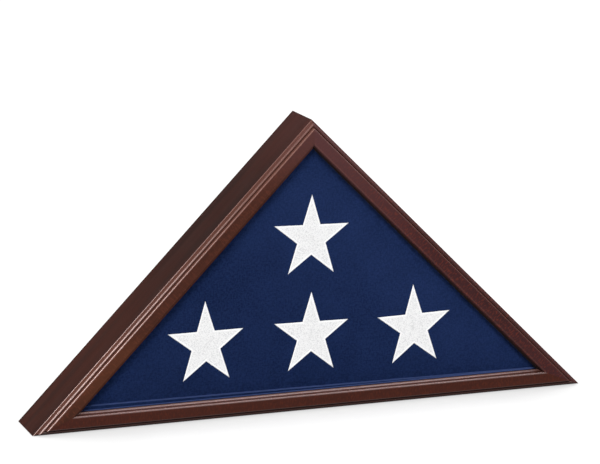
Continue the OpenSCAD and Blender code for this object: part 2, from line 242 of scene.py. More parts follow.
def smooth_step(value: np.ndarray, low: float, high: float) -> np.ndarray:
    """Rises from 0 at low to 1 at high as 3t^2 - 2t^3."""
    t = np.clip((value - low) / (high - low), 0.0, 1.0)
    return t * t * (3 - 2 * t)


def band(value: np.ndarray, rise: Span, fall: Span) -> np.ndarray:
    """Rises over one span and falls over the next: one smooth step times 1 less the other."""
    return smooth_step(value, *rise) * (1 - smooth_step(value, *fall))


def tube_faces(rings: int, around: int) -> np.ndarray:
    """Quads between neighbouring closed rings: (r, k), (r, k + 1), (r + 1, k + 1), (r + 1, k), k taken round.

    Args:
        rings: number of rings.
        around: points in a ring.

    Returns:
        An array of quads.
    """
    r, k = np.meshgrid(np.arange(rings - 1), np.arange(around), indexing="ij")
    ahead = (k + 1) % around
    here, after = r * around, (r + 1) * around
    return np.stack([here + k, here + ahead, after + ahead, after + k], -1).reshape(-1, 4)


def fan_faces(ring: int, around: int, pole: int) -> np.ndarray:
    """Triangles from one ring to a pole: (ring, k), (ring, k + 1), pole."""
    k = np.arange(around)
    return np.stack([ring * around + k, ring * around + (k + 1) % around, np.full(around, pole)], -1)


def capped(grid: np.ndarray, first: list[float], last: list[float], base: int = 0) -> tuple[np.ndarray, list]:
    """Closes a grid of rings with a pole at each end.

    Args:
        grid: points by ring and by place round it.
        first, last: the poles beside the first ring and the last.
        base: number of the first point.

    Returns:
        The grid's points and then the poles, and the quads between the rings and then the two fans.
    """
    rings, around = grid.shape[:2]
    pole = rings * around
    near = fan_faces(0, around, pole)[:, ::-1]
    far = fan_faces(rings - 1, around, pole + 1)
    faces = [(part + base).tolist() for part in (tube_faces(rings, around), near, far)]
    return np.concatenate([grid.reshape(-1, 3), [first, last]]), sum(faces, [])


def put(name: str, data: bpy.types.ID) -> bpy.types.Object:
    """Adds an object that holds a mesh, a lamp or a camera."""
    thing = bpy.data.objects.new(name, data)
    bpy.context.scene.collection.objects.link(thing)
    return thing


def stand(thing: bpy.types.Object, place: Vector, across: Vector, up: Vector, back: Vector) -> None:
    """Puts a lamp or camera in its place, with its X, Y and Z along three unit vectors."""
    turned = Matrix((across, up, back)).transposed().to_4x4()
    turned.translation = place
    thing.matrix_world = turned


def make_piece(name: str, shell: Shell, material: bpy.types.Material) -> bpy.types.Object:
    """Puts a shell into a mesh, its faces pointing outwards, and shades it smooth up to its sharp angle.

    Args:
        name: the piece's name.
        shell: its points, faces and attributes.
        material: its material.

    Returns:
        The new object, at the origin.
    """
    mesh = bpy.data.meshes.new(name)
    mesh.from_pydata(shell.points.tolist(), [], shell.faces)
    work = bmesh.new()
    work.from_mesh(mesh)
    if work.calc_volume(signed=True) < 0:
        bmesh.ops.reverse_faces(work, faces=work.faces)
        work.to_mesh(mesh)
    work.free()
    for layer, values in shell.layers.items():
        kind, key = ("FLOAT_VECTOR", "vector") if values.ndim == 2 else ("FLOAT", "value")
        data = mesh.attributes.new(layer, kind, "POINT").data
        data.foreach_set(key, values.astype(np.float32).ravel())
    mesh.polygons.foreach_set("use_smooth", np.ones(len(mesh.polygons), dtype=bool))
    mesh.set_sharp_from_angle(angle=math.radians(shell.sharp_angle))
    mesh.materials.append(material)
    mesh.update()
    return put(name, mesh)


def settle(piece: bpy.types.Object, body: str, slot: str, *nodes: str) -> bpy.types.Object:
    """Puts a piece on its body and hides the nodes that it stands for."""
    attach(piece, body)
    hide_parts(*nodes)
    log.info("%s rides on %s with %d faces", piece.name, body, len(piece.data.polygons))
    return piece


# ------------------------------------------------------------------------------------------- finishes


class Wiring:
    """A node tree, and short ways of adding nodes to it."""

    def __init__(self, tree: bpy.types.NodeTree) -> None:
        """Takes the tree."""
        self.tree = tree

    def feed(self, socket: Socket, value: object) -> None:
        """Links a socket to another socket, or sets it to a plain value."""
        if isinstance(value, Socket):
            self.tree.links.new(value, socket)
        else:
            socket.default_value = value

    def node(self, kind: str, sockets: dict | None = None, **settings: object) -> bpy.types.Node:
        """Adds a node.

        Args:
            kind: its type, after the word ShaderNode.
            sockets: what each input is linked or set to, by name or number.
            settings: its own settings.

        Returns:
            The node.
        """
        node = self.tree.nodes.new(f"ShaderNode{kind}")
        for key, setting in settings.items():
            setattr(node, key, setting)
        for key, value in (sockets or {}).items():
            self.feed(node.inputs[key], value)
        return node

    def math(self, operation: str, first: object, second: object = 0.0) -> Socket:
        """One Math node."""
        return self.node("Math", {0: first, 1: second}, operation=operation).outputs["Value"]

    def white_rays(self) -> Socket:
        """1 for rays from the camera, from a mirror or through glass, else 0."""
        path = self.node("LightPath").outputs
        seen = self.math("MAXIMUM", path["Is Camera Ray"], path["Is Glossy Ray"])
        return self.math("MAXIMUM", seen, path["Is Transmission Ray"])


class Recipe(Wiring):
    """A material being put together from nodes round one shader, Principled unless it is swapped."""

    def __init__(self, name: str) -> None:
        """Starts a material with a shader and an output."""
        self.material = bpy.data.materials.new(name)
        self.material.use_nodes = True
        super().__init__(self.material.node_tree)
        self.tree.nodes.clear()
        self.shader = self.node("BsdfPrincipled")
        self.output = self.node("OutputMaterial", {"Surface": self.shader.outputs["BSDF"]})

    def swap(self, kind: str, *sockets: Socket) -> None:
        """Puts another kind of shader, fed by the sockets in order, in the first one's place."""
        self.tree.nodes.remove(self.shader)
        self.shader = self.node(kind, dict(enumerate(sockets)))
        self.feed(self.output.inputs["Surface"], self.shader.outputs["Shader"])

    def set(self, **values: object) -> None:
        """Feeds the shader's sockets, named with underscores for spaces."""
        for key, value in values.items():
            self.feed(self.shader.inputs[key.replace("_", " ").title().replace("Ior", "IOR")], value)

    def coordinates(self) -> Socket:
        """Object coordinates."""
        return self.node("TexCoord").outputs["Object"]

    def layer(self, name: str, output: str = "Fac") -> Socket:
        """One of the piece's own attributes."""
        return self.node("Attribute", attribute_name=name).outputs[output]

    def noise(
        self,
        place: Socket,
        scale: Triple,
        detail: float = 2.0,
        rough: float = 0.5,
        turn: float = 0.0,
        shift: Triple = (0.0, 0.0, 0.0),
    ) -> Socket:
        """Noise on coordinates that are turned about Y, then stretched.

        Args:
            place: the coordinates.
            scale: how many pattern units there are to a metre along each axis.
            detail, rough: the noise's octaves, and how much each adds.
            turn: angle about Y in radians.
            shift: offset in pattern units.

        Returns:
            The noise's value, from 0 to 1.
        """
        if turn:
            place = self.node("Mapping", {"Vector": place, "Rotation": (0.0, turn, 0.0)}).outputs["Vector"]
        place = self.node("Mapping", {"Vector": place, "Scale": scale, "Location": shift}).outputs["Vector"]
        sockets = {"Vector": place, "Scale": 1.0, "Detail": detail, "Roughness": rough}
        return self.node("TexNoise", sockets).outputs["Fac"]

    def ranged(self, value: Socket, low: float, high: float, least: float = 0.0, most: float = 1.0) -> Socket:
        """Maps low..high to least..most, held at both ends."""
        ends = {"From Min": low, "From Max": high, "To Min": least, "To Max": most}
        return self.node("MapRange", {"Value": value, **ends}).outputs["Result"]

    def blend(self, share: Socket, first: object, second: object) -> Socket:
        """Mixes two colours by a share."""
        return self.node("Mix", {0: share, 6: first, 7: second}, data_type="RGBA").outputs[2]

    def bump(self, height: Socket, strength: float, distance: float) -> None:
        """Gives the shader a bump of the given height in metres."""
        sockets = {"Strength": strength, "Distance": distance, "Height": height}
        self.set(normal=self.node("Bump", sockets).outputs["Normal"])


@dataclass(frozen=True)
class StainedWood:
    """Close-grained hardwood under a dark stain, with short flecks across the grain and a satin lacquer.

    A rail also has its side faces in a darker, redder copy of the tone, painted shade against the extra light
    and grey sheen that they catch, and further layers, each laid on by the attribute of that name: a painted
    sheen near the top, a painted orange-brown sheen low on the left rail, polished edges, edges lightened
    partly by rubbing and partly as painted highlight and painted light in shaded hollows, and painted shade
    in recesses.
    """

    name: str
    ground: Tone
    streak: Tone
    fleck: Tone
    grain: Grain
    fleck_share: float = 0.6
    shift: float = 0.0
    roughness: float = 0.5
    specular: float = 0.01
    # Painted shade: a darker, redder copy of the tone for the side faces, against the extra light and grey
    # sheen that they catch.
    shaded_flank: Tone = (64, 33, 26)
    shaded_flank_streak: Tone = (50, 27, 22)
    # Painted sheen: a paler, greyer tone laid on near the top of the rails.
    painted_sheen: Tone = (88, 56, 56)
    # Painted sheen: a lighter orange-brown tone low on the left rail, away from its side face.
    painted_amber_sheen: Tone = (104, 60, 40)
    # Lighter edges: partly real rubbing, partly painted highlight along the left rail and painted light in
    # hollows that lie in shade.
    rubbed_and_lit: Tone = (122, 80, 69)
    # Painted shade: a near-black tone laid into recesses, under the base moulding and into the right rail's
    # deep lip.
    painted_shade: Tone = (30, 24, 24)
    coat_roughness: float = 0.5
    streak_scale: Triple = (5, 55, 55)
    streak_range: Span = (0.35, 0.68)
    blotch_scale: Triple = (22, 60, 60)
    blotch_range: Span = (0.1, 0.5)
    fleck_scale: Triple = (620, 230, 230)
    fleck_range: Span = (0.5, 0.64)
    pore_scale: Triple = (90, 1500, 1500)
    pore_range: Range = (0.6, 0.75, 0.0, 0.3)
    pore_shade: float = 0.72
    pore_depth: float = 0.00006

    def material(self) -> bpy.types.Material:
        """Builds the material.

        Returns:
            Streaks along the grain, blotches of stain, flecks across it and pores, on the wood's own
            coordinates.
        """
        recipe = Recipe(self.name)
        base = CaseTriangle().base_angle
        wood = recipe.layer("grain", "Vector") if self.grain is Grain.RAIL else recipe.coordinates()
        cut = {
            "turn": {Grain.LEFT_LEG: base, Grain.RIGHT_LEG: -base}.get(self.grain, 0.0),
            "shift": (self.shift, self.shift * 0.7, self.shift * 0.3),
        }
        streaks = recipe.noise(wood, self.streak_scale, 3.0, 0.55, **cut)
        blotches = recipe.noise(wood, self.blotch_scale, 3.0, **cut)
        flecks = recipe.noise(wood, self.fleck_scale, 2.0, 0.55, **cut)
        pores = recipe.noise(wood, self.pore_scale, 1.0, **cut)
        streaked = recipe.ranged(streaks, *self.streak_range)
        ground = recipe.blend(streaked, tone(self.ground), tone(self.streak))
        flecked = recipe.ranged(flecks, *self.fleck_range)
        spots = recipe.math("MULTIPLY", flecked, recipe.ranged(blotches, *self.blotch_range))
        spotted = recipe.blend(recipe.math("MULTIPLY", spots, self.fleck_share), ground, tone(self.fleck))
        dark = tone(tuple(self.pore_shade * c for c in self.streak))
        colour = recipe.blend(recipe.ranged(pores, *self.pore_range), spotted, dark)
        if self.grain is Grain.RAIL:
            # Painted shade on the side faces, then the painted sheens, the lightened edges and the painted
            # shade in recesses, each by its attribute.
            outer = recipe.blend(streaked, tone(self.shaded_flank), tone(self.shaded_flank_streak))
            colour = recipe.blend(recipe.layer("shaded_flank"), colour, outer)
            for wear_and_painted_light in ("painted_sheen", "painted_amber_sheen", "rubbed_and_lit", "painted_shade"):
                colour = recipe.blend(recipe.layer(wear_and_painted_light), colour, tone(getattr(self, wear_and_painted_light)))
            recipe.set(coat_weight=recipe.layer("polish"), coat_roughness=self.coat_roughness)
        recipe.set(
            base_color=colour,
            roughness=recipe.ranged(blotches, 0.3, 0.7, self.roughness - 0.05, self.roughness + 0.07),
            specular_ior_level=self.specular,
        )
        recipe.bump(recipe.math("ADD", pores, flecks), 0.15, self.pore_depth)
        return recipe.material


@dataclass(frozen=True)
class BoardFinish:
    """Thin board with a faint straight grain: the door, the gusset, or bare wood inside the case."""

    name: str
    ground: Tone
    streak: Tone
    roughness: float = 0.55
    specular: float = 0.06
    streak_scale: Triple = (5, 60, 110)
    streak_range: Span = (0.32, 0.7)
    pore_scale: Triple = (70, 1400, 1400)
    pore_range: Range = (0.56, 0.72, 0.0, 0.5)
    pore_shade: float = 0.66
    pore_depth: float = 0.00008

    def material(self) -> bpy.types.Material:
        """Builds the material: long streaks with fine pores, both along the grain."""
        recipe = Recipe(self.name)
        wood = recipe.coordinates()
        streaks = recipe.noise(wood, self.streak_scale, 4.0, 0.62)
        pores = recipe.noise(wood, self.pore_scale, 1.0)
        streaked = recipe.ranged(streaks, *self.streak_range)
        ground = recipe.blend(streaked, tone(self.ground), tone(self.streak))
        dark = tone(tuple(self.pore_shade * c for c in self.streak))
        recipe.set(
            base_color=recipe.blend(recipe.ranged(pores, *self.pore_range), ground, dark),
            roughness=recipe.ranged(streaks, 0.3, 0.7, self.roughness - 0.06, self.roughness + 0.08),
            specular_ior_level=self.specular,
        )
        recipe.bump(pores, 0.3, self.pore_depth)
        return recipe.material


@dataclass(frozen=True)
class FlagCotton:
    """Dyed navy cloth: plain weave, slubs along both threads, a soft bloom, and painted light that makes it
    paler towards the top and to the right.
    """

    name: str = "flag_cloth"
    ground: Tone = (11, 26, 58)
    slub: Tone = (32, 49, 91)
    # Paler blue for the hem's folds: partly worn dye, partly painted sheen where the folds catch the light.
    worn: Tone = (62, 78, 124)
    thread: float = 0.42
    specular: float = 0.02
    weft_scale: Triple = (300, 300, 640)
    warp_scale: Triple = (640, 300, 300)
    warp_shift: Triple = (3.0, 1.0, 2.0)
    slub_range: Range = (0.4, 0.6, 0.09, 0.51)
    bloom_scale: Triple = (28, 28, 28)
    bloom_range: Range = (0.35, 0.65, 0.0, 0.16)
    # Painted light: the cloth is mixed paler with height plus a share of X.
    painted_light_slant: float = 0.7
    painted_light_range: Range = (0.08, 0.3, 0.0, 0.44)
    weave_depth: float = 0.00012

    def material(self) -> bpy.types.Material:
        """Builds the material: crossing waves of one thread's pitch for the weave, noise for the slubs.

        Returns:
            The slub tone is mixed into the ground by the threads' noise, the bloom, and painted light that
            grows with height plus a share of X. The folds of the hem are paler, partly worn and partly
            painted sheen where they catch the light.
        """
        recipe = Recipe(self.name)
        cloth = recipe.coordinates()
        weft = recipe.noise(cloth, self.weft_scale, 1.0)
        warp = recipe.noise(cloth, self.warp_scale, 1.0, shift=self.warp_shift)
        bloom = recipe.noise(cloth, self.bloom_scale, 3.0)
        threads = recipe.math("MULTIPLY", recipe.math("ADD", weft, warp), 0.5)
        slubs = recipe.ranged(threads, *self.slub_range)
        mixed = recipe.math("ADD", slubs, recipe.ranged(bloom, *self.bloom_range))
        split = recipe.node("SeparateXYZ", {"Vector": cloth}).outputs
        # Painted light: paler with height and towards positive X.
        slant = recipe.math("ADD", split["Z"], recipe.math("MULTIPLY", split["X"], self.painted_light_slant))
        share = recipe.math("ADD", mixed, recipe.ranged(slant, *self.painted_light_range))
        dyed = recipe.blend(share, tone(self.ground), tone(self.slub))
        recipe.set(
            # The hem's folds turn paler: partly worn dye, partly painted sheen.
            base_color=recipe.blend(recipe.layer("fold_wear_and_sheen"), dyed, tone(self.worn)),
            roughness=recipe.ranged(bloom, 0.3, 0.7, 0.82, 0.92),
            specular_ior_level=self.specular,
        )
        weave = recipe.math("MULTIPLY", self.wave(recipe, split["X"]), self.wave(recipe, split["Z"]))
        recipe.bump(weave, 0.35, self.weave_depth)
        return recipe.material

    def wave(self, recipe: Recipe, place: Socket) -> Socket:
        """The sine of the place along one axis, half a turn to a thread, raised to stay above zero."""
        turns = recipe.math("MULTIPLY", place, math.pi / (self.thread * MM))
        return recipe.math("ADD", recipe.math("SINE", turns), 1.2)


@dataclass(frozen=True)
class StarThread:
    """White embroidery: a satin-stitched border round a mottled fill."""

    name: str = "star_thread"
    satin: Tone = (253, 253, 253)
    fill: Tone = (243, 243, 243)
    shade: Tone = (216, 216, 217)
    specular: float = 0.25
    stitch_scale: Triple = (760, 760, 760)
    stitch_range: Span = (0.45, 0.68)
    patch_scale: Triple = (130, 130, 130)
    patch_range: Range = (0.3, 0.7, 0.7, 1.0)
    stitch_depth: float = 0.0003

    def material(self) -> bpy.types.Material:
        """Builds the material: the satin attribute picks border or fill, and two noises mottle the fill."""
        recipe = Recipe(self.name)
        thread = recipe.coordinates()
        stitches = recipe.noise(thread, self.stitch_scale, 1.0)
        patches = recipe.ranged(recipe.noise(thread, self.patch_scale), *self.patch_range)
        satin = recipe.ranged(recipe.layer("satin"), 0.25, 0.75)
        mottle = recipe.math("MULTIPLY", recipe.ranged(stitches, *self.stitch_range), patches)
        fill = recipe.blend(mottle, tone(self.fill), tone(self.shade))
        recipe.set(
            base_color=recipe.blend(satin, fill, tone(self.satin)),
            roughness=recipe.ranged(satin, 0.0, 1.0, 0.8, 0.5),
            specular_ior_level=self.specular,
        )
        recipe.bump(stitches, 0.5, self.stitch_depth)
        return recipe.material


@dataclass(frozen=True)
class Metal:
    """Bare or plated metal with a fine brushed grain."""

    name: str
    colour: Tone
    worn: Tone
    roughness: float
    brush_scale: Triple = (200, 2500, 2500)
    tarnish_scale: Triple = (240, 240, 240)
    brush_depth: float = 0.00003

    def material(self) -> bpy.types.Material:
        """Builds the material: stretched noise for the brushing, soft noise for tarnish."""
        recipe = Recipe(self.name)
        metal = recipe.coordinates()
        brushing = recipe.noise(metal, self.brush_scale)
        tarnish = recipe.noise(metal, self.tarnish_scale, 3.0)
        uneven = recipe.math("MULTIPLY", brushing, tarnish)
        recipe.set(
            base_color=recipe.blend(recipe.ranged(tarnish, 0.4, 0.7), tone(self.colour), tone(self.worn)),
            metallic=1.0,
            roughness=recipe.ranged(uneven, 0.1, 0.4, self.roughness - 0.06, self.roughness + 0.12),
        )
        recipe.bump(brushing, 0.15, self.brush_depth)
        return recipe.material


@dataclass(frozen=True)
class Rubber:
    """Matt black moulded rubber."""

    name: str = "bumper_rubber"
    ground: Tone = (30, 30, 31)
    bloom: Tone = (44, 43, 43)
    specular: float = 0.3
    dimple_scale: Triple = (1800, 1800, 1800)
    dimple_depth: float = 0.0001

    def material(self) -> bpy.types.Material:
        """Builds the material: near-black with a fine dimpled skin."""
        recipe = Recipe(self.name)
        skin = recipe.noise(recipe.coordinates(), self.dimple_scale)
        recipe.set(
            base_color=recipe.blend(recipe.ranged(skin, 0.3, 0.7), tone(self.ground), tone(self.bloom)),
            roughness=recipe.ranged(skin, 0.3, 0.7, 0.62, 0.8),
            specular_ior_level=self.specular,
        )
        recipe.bump(skin, 0.4, self.dimple_depth)
        return recipe.material


@dataclass(frozen=True)
class ClearPane:
    """Non-reflecting picture glass: nearly all of it lets light straight through."""

    name: str = "pane"
    clearness: float = 0.994
    index: float = 1.03
    least: float = 0.002
    roughness: float = 0.02

    def material(self) -> bpy.types.Material:
        """Builds the material: see-through, with a mirror mixed in by Fresnel where it is seen along."""
        recipe = Recipe(self.name)
        clear = recipe.node("BsdfTransparent", {"Color": (self.clearness,) * 3 + (1.0,)})
        mirror = recipe.node("BsdfGlossy", {"Roughness": self.roughness})
        edge = recipe.node("Fresnel", {"IOR": self.index}).outputs["Fac"]
        share = recipe.ranged(edge, self.least, 1.0)
        recipe.swap("MixShader", share, clear.outputs["BSDF"], mirror.outputs["BSDF"])
        return recipe.material


# ---------------------------------------------------------------------------------------------- frame


# Members that take the side faces' darker tone, which is painted shade.
OUTER_MEMBERS = (Member.REAR_ARRIS, Member.FLANK, Member.INNER_ARRIS, Member.REBATE)
# Heights in millimetres over which the painted sheen rises on each rail.
PAINTED_SHEEN_HEIGHTS = {Side.BASE: (240.0, 330.0), Side.RIGHT: (165.0, 320.0), Side.LEFT: (240.0, 330.0)}
PLAIN = ((0.0, 0.0, 0.0),) * 3
# How polished each member is, how much it is lightened, partly by rubbing and partly as painted highlight and
# painted light in shade, and how much painted shade it takes, on the base rail, the right one and the left
# one.
EDGE_DRESS: dict[Member, tuple[Triple, Triple, Triple]] = {
    Member.SIDE_ARRIS: ((0.2, 0.0, 0.6), (0.1, 0.0, 0.0), (0.9, 0.6, 0.0)),
    Member.COVE: ((0.2, 0.0, 0.6), (0.0, 0.2, 0.0), (0.0, 0.3, 0.0)),
    Member.BEAD: ((0.3, 0.0, 0.5), (0.1, 0.0, 0.1), (0.9, 0.4, 0.0)),
    Member.BEAD_FOOT: ((0.3, 0.0, 0.5), (0.0, 0.45, 0.0), (0.8, 0.6, 0.0)),
    Member.QUIRK: ((0.3, 0.0, 0.5), (0.0, 0.9, 0.0), (0.0, 0.5, 0.0)),
    Member.FACE_ARRIS: ((0.5, 0.0, 0.3), (0.2, 0.2, 0.0), (0.9, 0.6, 0.0)),
    Member.SIGHT_ARRIS: ((0.9, 0.1, 0.0), (0.1, 0.1, 0.0), (0.0, 0.0, 0.3)),
    Member.SIGHT_COVE: ((0.15, 0.0, 0.1), (0.0, 0.0, 0.35), (0.0, 0.0, 0.0)),
    Member.THROAT: ((0.8, 0.05, 0.0), (0.0, 0.0, 1.0), (0.0, 0.0, 0.0)),
    Member.SHELF: ((0.6, 0.0, 0.0), (0.0, 0.0, 1.0), (0.0, 0.0, 0.0)),
}


@dataclass
class MitredFrame:
    """Three moulded rails, mitred at the corners: side, cove, bead, quirk, face, sight edge and rabbets."""

    triangle: CaseTriangle
    face_inset: float = 6.0
    face_width: float = 13.3
    side_depth: float = 8.4
    cove: float = 1.7
    bead: float = 1.3
    bead_depth: float = 4.4
    quirk_depth: float = 5.6
    arris: float = 0.6
    face_arris: float = 1.0
    sight_arris: Span = (1.0, 1.4)
    lip_width: float = 3.0
    lip_depth: float = 7.5
    lip_step: float = 1.2
    lip_shelf: float = 0.3
    lip_edge: float = 1.5
    wall: float = 16.5
    rim: float = 10.0
    rabbet: float = 68.7
    joint: float = 0.02
    stations: int = 25
    beside: float = 0.35
    # Shares and height bands of the painted sheen, the painted orange-brown sheen low on the left rail, the
    # left rail's polish that fades upwards while its painted edge highlight grows, and a band of painted
    # shade on the left rail's side face.
    painted_sheen_share: float = 0.8
    flank_clear: float = 0.75
    painted_amber_share: float = 0.35
    painted_amber_band: tuple[Span, Span] = ((0.0, 60.0), (80.0, 120.0))
    fade_rise: Span = (60.0, 270.0)
    fade_share: float = 0.72
    fade_painted_highlight: float = 0.4
    shade_share: float = 0.3
    shade_band: tuple[Span, Span] = ((110.0, 200.0), (250.0, 320.0))

    def section(self) -> list[tuple[Member, np.ndarray]]:
        """The moulding's closed section, member by member, as rows of depth and inset.

        Returns:
            Arcs and flats in order from the rear outer arris round the front to the rear inner one. A
            flat's rows stand just beside the curves at its ends, so its finish doesn't run on to them.
        """
        a, depth, near = self.arris, self.triangle.depth, self.beside
        soft, ease = self.face_arris, self.sight_arris
        lip = self.face_inset + self.face_width
        sight = lip + self.lip_width
        bead_inset = a + self.cove + self.bead
        bead = (self.bead_depth, bead_inset), (self.bead, self.bead)
        quirk_inset = (bead_inset + self.bead + self.face_inset) / 2
        hollow = (self.lip_depth - self.lip_edge - self.lip_step, self.lip_width - self.lip_shelf)
        members = {
            Member.REAR_ARRIS: arc((depth - a, a), (a, a), 0, -90, 6),
            Member.FLANK: [[depth - a - near, 0.0], [self.side_depth + a + near, 0.0]],
            Member.SIDE_ARRIS: arc((self.side_depth + a, a), (a, a), -90, -180, 8),
            Member.COVE: arc((self.side_depth - self.cove, a), (self.cove, self.cove), 0, 90, 10),
            Member.BEAD: arc(*bead, -90, -198, 12),
            Member.BEAD_FOOT: arc(*bead, -207, -270, 7),
            Member.QUIRK: [[self.quirk_depth, quirk_inset], [soft + near, self.face_inset - 0.1 * near]],
            Member.FACE_ARRIS: arc((soft, self.face_inset + soft), (soft, soft), -90, -180, 10),
            Member.FACE: [[0.0, self.face_inset + soft + near], [0.0, lip - ease[1] - near]],
            Member.SIGHT_ARRIS: arc((ease[0], lip - ease[1]), ease, 180, 90, 10),
            Member.SIGHT_COVE: arc((self.lip_step, sight), hollow, -90, -45, 8),
            Member.THROAT: arc((self.lip_step, sight), hollow, -38, 0, 7),
            Member.SHELF: [[self.lip_depth, sight]],
            Member.REBATE: [[self.lip_depth, self.wall], [self.rabbet, self.wall], [self.rabbet, self.rim]],
            Member.INNER_ARRIS: arc((depth - a, self.rim - a), (a, a), 90, 0, 6),
        }
        return [(member, np.array(rows)) for member, rows in members.items()]

    def rail(self, side: Side) -> Shell:
        """One rail: the section carried along its side between two mitre planes.

        Args:
            side: which side of the case.

        Returns:
            A tube whose point (w, k) lies at section point k, a share w of the way from mitre to mitre,
            closed by flat ends. A mitre cuts at inset times the cotangent of half the corner angle.
        """
        members = self.section()
        section = np.concatenate([rows for _, rows in members])
        order = list(Side).index(side)
        dress = [np.tile(EDGE_DRESS.get(member, PLAIN)[order], (len(rows), 1)) for member, rows in members]
        polish, rubbed_and_lit, painted_shade = np.concatenate(dress).T
        shaded_flank = np.concatenate([np.full(len(rows), float(name in OUTER_MEMBERS)) for name, rows in members])
        first, last = self.triangle.mitres(side)
        length = self.triangle.side(side)[3]
        share = np.linspace(0, 1, self.stations)[:, None]
        inset = np.broadcast_to(section[:, 1], (self.stations, len(section)))
        depth = np.broadcast_to(section[:, 0], inset.shape)
        start = inset * first + self.joint
        along = start + share * (length - inset * last - self.joint - start)
        around, count = len(section), len(section) * self.stations
        faces = tube_faces(self.stations, around).tolist()
        faces += [list(range(around))[::-1], list(range(count - around, count))]
        points = self.triangle.place(side, along, depth, inset)
        layers = self.wear_and_painted_light(side, points[..., 2] / MM, shaded_flank, polish, rubbed_and_lit, painted_shade)
        layers = {name: np.broadcast_to(values, inset.shape).reshape(-1) for name, values in layers.items()}
        seed = {Side.BASE: 0.0, Side.RIGHT: 2.3, Side.LEFT: 5.1}[side]
        layers["grain"] = np.stack([along * MM + seed, depth * MM, inset * MM], -1).reshape(-1, 3)
        return Shell(points.reshape(-1, 3), faces, layers)

    def wear_and_painted_light(
        self,
        side: Side,
        height: np.ndarray,
        shaded_flank: np.ndarray,
        polish: np.ndarray,
        rubbed_and_lit: np.ndarray,
        painted_shade: np.ndarray,
    ) -> dict[str, np.ndarray]:
        """A rail's edge polish, edge lightening and painted sheen and shade: the share that each member has
        of its own, changed by smooth steps of height.

        Args:
            side: which side of the case.
            height: height of each point, in millimetres.
            flank, polish, rubbed, pooled: each section point's own share.

        Returns:
            The rail's attributes by name.
        """
        left = side is Side.LEFT
        painted_sheen = smooth_step(height, *PAINTED_SHEEN_HEIGHTS[side])
        painted_amber_sheen = band(height, *self.painted_amber_band) * left
        fade = smooth_step(height, *self.fade_rise) * left
        shade = band(height, *self.shade_band) * left
        # Painted sheen near the top, painted orange-brown sheen low on the left rail, polish that fades up
        # the left rail while its painted edge highlight grows, and painted shade in recesses plus a band on
        # the left side face.
        return {
            "shaded_flank": shaded_flank,
            "painted_sheen": painted_sheen * (1 - self.flank_clear * shaded_flank) * self.painted_sheen_share,
            "painted_amber_sheen": painted_amber_sheen * (1 - shaded_flank) * self.painted_amber_share,
            "polish": polish * (1 - self.fade_share * fade),
            "rubbed_and_lit": rubbed_and_lit * (1 + self.fade_painted_highlight * fade),
            "painted_shade": painted_shade + shaded_flank * shade * self.shade_share,
        }

    def build(self) -> None:
        """Makes the three rails, each in its own cut of the stained wood."""
        cuts = {
            Side.BASE: ((70, 38, 32), (62, 34, 28), (90, 44, 32), Grain.RAIL, 0.5, 1.7),
            Side.RIGHT: ((70, 40, 41), (58, 35, 36), (104, 49, 40), Grain.RAIL, 0.7, 4.2),
            Side.LEFT: ((78, 44, 35), (60, 36, 29), (98, 53, 40), Grain.RAIL, 0.45, 7.9),
        }
        for side, cut in cuts.items():
            node = f"{side.value}_rail"
            wood = StainedWood(f"stained_wood.{side.value}", *cut).material()
            settle(make_piece(f"{node}.moulded", self.rail(side), wood), CASE_BODY, "stained_wood", node)


# ----------------------------------------------------------------------------------------------- flag


